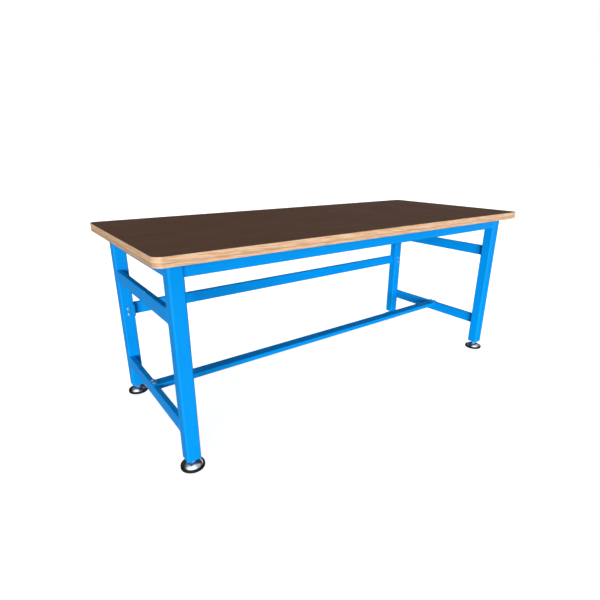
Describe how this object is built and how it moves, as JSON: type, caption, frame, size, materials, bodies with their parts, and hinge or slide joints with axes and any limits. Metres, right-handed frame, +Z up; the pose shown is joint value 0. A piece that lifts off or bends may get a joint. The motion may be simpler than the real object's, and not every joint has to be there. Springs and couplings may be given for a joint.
{
  "type": "workbench",
  "caption": "Long workshop bench: laminated plywood worktop on a steel tube frame, bolted rails with angle brackets, low centre stretcher and screw-adjusted round levelling feet.",
  "frame": {"origin": "on the floor under the middle of the worktop, with the feet screwed right in", "axes": "+X along the bench to its right end, +Y to the rear, +Z up"},
  "size_m": [2.2, 0.95, 0.905],
  "materials": {
    "blue_powder_coat": "satin powder coat",
    "brown_film": "matte phenolic film",
    "birch_plywood": "sanded plywood edge",
    "zinc_plate": "zinc plated",
    "plain_steel": "plain",
    "chrome_plate": "polished",
    "black_rubber": "matte"
  },
  "bodies": {
    "frame": {"worktop_film": "brown_film", "upper_board": "birch_plywood", "lower_board": "birch_plywood", "underside_film": "brown_film", "front_left_leg": "blue_powder_coat", "front_left_leg_plate": "blue_powder_coat", "rear_left_leg": "blue_powder_coat", "rear_left_leg_plate": "blue_powder_coat", "left_top_rail": "blue_powder_coat", "left_middle_rail": "blue_powder_coat", "left_low_rail": "blue_powder_coat", "front_right_leg": "blue_powder_coat", "front_right_leg_plate": "blue_powder_coat", "rear_right_leg": "blue_powder_coat", "rear_right_leg_plate": "blue_powder_coat", "right_top_rail": "blue_powder_coat", "right_middle_rail": "blue_powder_coat", "right_low_rail": "blue_powder_coat", "front_rail": "blue_powder_coat", "front_rail_left_bracket": "blue_powder_coat", "front_rail_right_bracket": "blue_powder_coat", "rear_top_rail": "blue_powder_coat", "rear_top_rail_left_bracket": "blue_powder_coat", "rear_top_rail_right_bracket": "blue_powder_coat", "rear_middle_rail": "blue_powder_coat", "rear_middle_rail_left_bracket": "blue_powder_coat", "rear_middle_rail_right_bracket": "blue_powder_coat", "stretcher": "blue_powder_coat", "stretcher_left_bracket": "blue_powder_coat", "stretcher_right_bracket": "blue_powder_coat", "frame_bolts": "zinc_plate", "frame_washers": "zinc_plate", "threaded_inserts": "zinc_plate", "worktop_screws": "zinc_plate", "weld_nuts": "plain_steel"},
    "front_left_foot": {"front_left_foot_pad": "black_rubber", "front_left_foot_cup": "chrome_plate"},
    "front_left_foot_spindle": {"front_left_spindle": "zinc_plate"},
    "front_left_washer": {"front_left_lock_washer": "zinc_plate"},
    "front_left_nut": {"front_left_lock_nut": "zinc_plate"},
    "rear_left_foot": {"rear_left_foot_pad": "black_rubber", "rear_left_foot_cup": "chrome_plate"},
    "rear_left_foot_spindle": {"rear_left_spindle": "zinc_plate"},
    "rear_left_washer": {"rear_left_lock_washer": "zinc_plate"},
    "rear_left_nut": {"rear_left_lock_nut": "zinc_plate"},
    "front_right_foot": {"front_right_foot_pad": "black_rubber", "front_right_foot_cup": "chrome_plate"},
    "front_right_foot_spindle": {"front_right_spindle": "zinc_plate"},
    "front_right_washer": {"front_right_lock_washer": "zinc_plate"},
    "front_right_nut": {"front_right_lock_nut": "zinc_plate"},
    "rear_right_foot": {"rear_right_foot_pad": "black_rubber", "rear_right_foot_cup": "chrome_plate"},
    "rear_right_foot_spindle": {"rear_right_spindle": "zinc_plate"},
    "rear_right_washer": {"rear_right_lock_washer": "zinc_plate"},
    "rear_right_nut": {"rear_right_lock_nut": "zinc_plate"}
  },
  "joints": [
    {"name": "front_left_foot_height", "type": "slide", "parent": "frame", "child": "front_left_foot", "axis": [0, 0, -1], "range_m": [0, 0.03]},
    {"name": "front_left_spindle_turn", "type": "hinge", "parent": "front_left_foot", "child": "front_left_foot_spindle", "pos_m": [-1.0075, -0.375, 0.03], "axis": [0, 0, -1], "range_deg": [0, 5400]},
    {"name": "front_left_washer_drop", "type": "slide", "parent": "frame", "child": "front_left_washer", "axis": [0, 0, -1], "range_m": [0, 0.002]},
    {"name": "front_left_nut_turn", "type": "hinge", "parent": "front_left_washer", "child": "front_left_nut", "pos_m": [-1.0075, -0.375, 0.0375], "axis": [0, 0, -1], "range_deg": [0, 360]},
    {"name": "rear_left_foot_height", "type": "slide", "parent": "frame", "child": "rear_left_foot", "axis": [0, 0, -1], "range_m": [0, 0.03]},
    {"name": "rear_left_spindle_turn", "type": "hinge", "parent": "rear_left_foot", "child": "rear_left_foot_spindle", "pos_m": [-1.0075, 0.375, 0.03], "axis": [0, 0, -1], "range_deg": [0, 5400]},
    {"name": "rear_left_washer_drop", "type": "slide", "parent": "frame", "child": "rear_left_washer", "axis": [0, 0, -1], "range_m": [0, 0.002]},
    {"name": "rear_left_nut_turn", "type": "hinge", "parent": "rear_left_washer", "child": "rear_left_nut", "pos_m": [-1.0075, 0.375, 0.0375], "axis": [0, 0, -1], "range_deg": [0, 360]},
    {"name": "front_right_foot_height", "type": "slide", "parent": "frame", "child": "front_right_foot", "axis": [0, 0, -1], "range_m": [0, 0.03]},
    {"name": "front_right_spindle_turn", "type": "hinge", "parent": "front_right_foot", "child": "front_right_foot_spindle", "pos_m": [1.0075, -0.375, 0.03], "axis": [0, 0, -1], "range_deg": [0, 5400]},
    {"name": "front_right_washer_drop", "type": "slide", "parent": "frame", "child": "front_right_washer", "axis": [0, 0, -1], "range_m": [0, 0.002]},
    {"name": "front_right_nut_turn", "type": "hinge", "parent": "front_right_washer", "child": "front_right_nut", "pos_m": [1.0075, -0.375, 0.0375], "axis": [0, 0, -1], "range_deg": [0, 360]},
    {"name": "rear_right_foot_height", "type": "slide", "parent": "frame", "child": "rear_right_foot", "axis": [0, 0, -1], "range_m": [0, 0.03]},
    {"name": "rear_right_spindle_turn", "type": "hinge", "parent": "rear_right_foot", "child": "rear_right_foot_spindle", "pos_m": [1.0075, 0.375, 0.03], "axis": [0, 0, -1], "range_deg": [0, 5400]},
    {"name": "rear_right_washer_drop", "type": "slide", "parent": "frame", "child": "rear_right_washer", "axis": [0, 0, -1], "range_m": [0, 0.002]},
    {"name": "rear_right_nut_turn", "type": "hinge", "parent": "rear_right_washer", "child": "rear_right_nut", "pos_m": [1.0075, 0.375, 0.0375], "axis": [0, 0, -1], "range_deg": [0, 360]}
  ],
  "couplings": [
    {"joint": "front_left_spindle_turn", "follows": "front_left_foot_height", "rad_per_m": 3141.6},
    {"joint": "front_left_nut_turn", "follows": "front_left_washer_drop", "rad_per_m": 3141.6},
    {"joint": "rear_left_spindle_turn", "follows": "rear_left_foot_height", "rad_per_m": 3141.6},
    {"joint": "rear_left_nut_turn", "follows": "rear_left_washer_drop", "rad_per_m": 3141.6},
    {"joint": "front_right_spindle_turn", "follows": "front_right_foot_height", "rad_per_m": 3141.6},
    {"joint": "front_right_nut_turn", "follows": "front_right_washer_drop", "rad_per_m": 3141.6},
    {"joint": "rear_right_spindle_turn", "follows": "rear_right_foot_height", "rad_per_m": 3141.6},
    {"joint": "rear_right_nut_turn", "follows": "rear_right_washer_drop", "rad_per_m": 3141.6}
  ]
}
